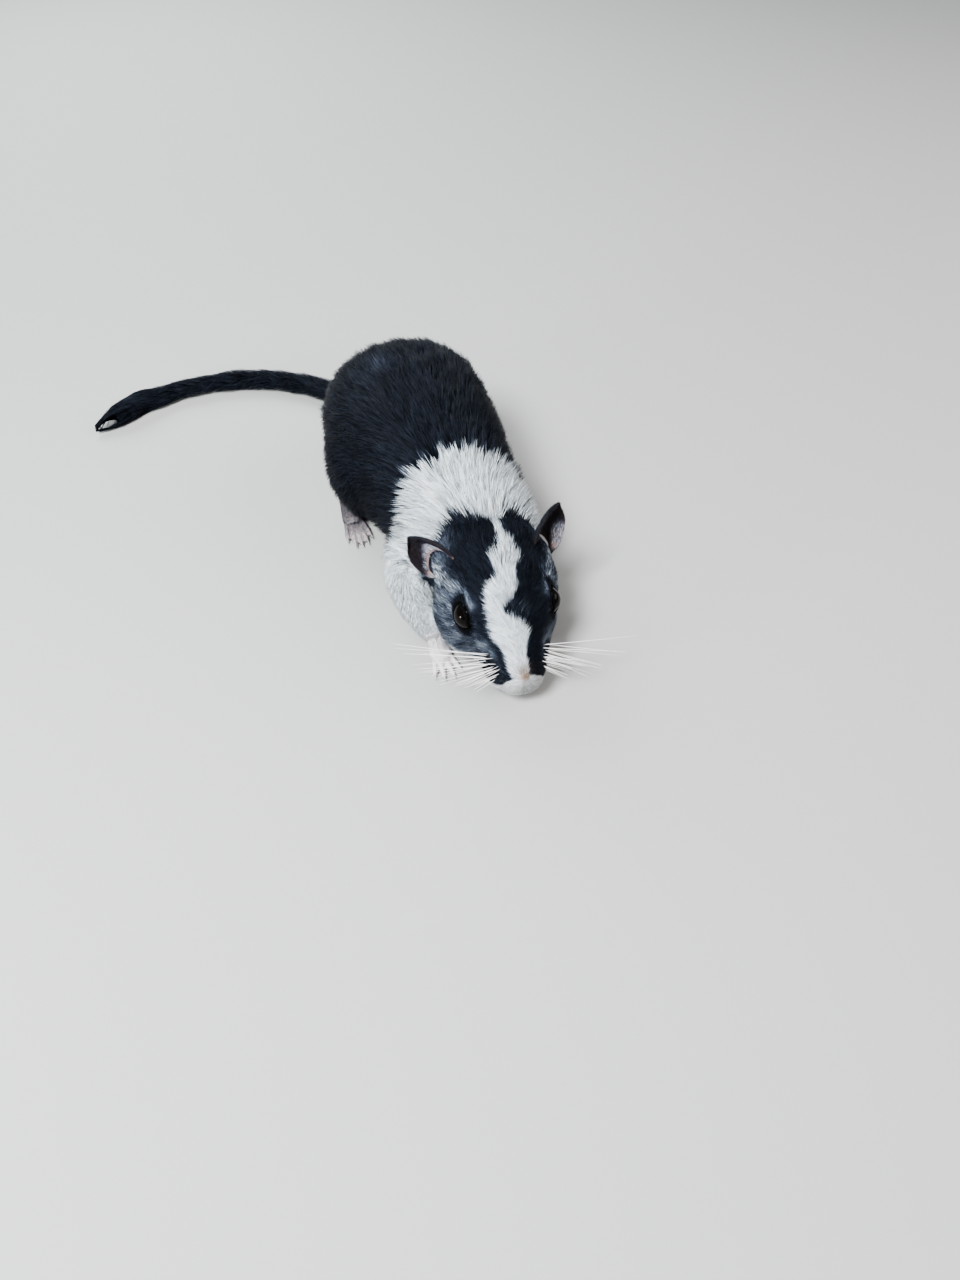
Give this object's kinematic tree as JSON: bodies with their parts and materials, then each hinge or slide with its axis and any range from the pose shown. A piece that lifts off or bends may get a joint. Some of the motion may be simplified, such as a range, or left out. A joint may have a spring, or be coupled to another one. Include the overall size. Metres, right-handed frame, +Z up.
{
  "type": "gerbil",
  "caption": "Still, life-size pied gerbil, crouched on a floor with its nose down and its furred tail laid out sideways.",
  "frame": {"origin": "on the floor, in the middle of the front part of the flat that the belly rests on", "axes": "+Z up; the animal looks along -Y; +X is its left side"},
  "size_m": [0.1151, 0.1585, 0.0456],
  "materials": {
    "fur_black": "soft black coat with a cool sheen",
    "fur_white": "soft white coat",
    "ear_skin": "thin dark skin under short hair",
    "paw_skin": "pinkish skin under short pale hair",
    "eye": "wet black"
  },
  "bodies": {
    "root": {"head": "fur_black", "neck": "fur_white", "torso": "fur_black", "thigh_left": "fur_black", "thigh_right": "fur_black", "ear_left": "ear_skin", "ear_right": "ear_skin", "eye_left": "eye", "eye_right": "eye", "foreleg_left": "fur_white", "foreleg_right": "fur_white", "forepaw_left": "paw_skin", "forepaw_right": "paw_skin", "hindfoot_left": "paw_skin", "hindfoot_right": "paw_skin", "tail_base": "fur_black", "tail_middle": "fur_black", "tail_brush": "fur_black"}
  },
  "joints": []
}
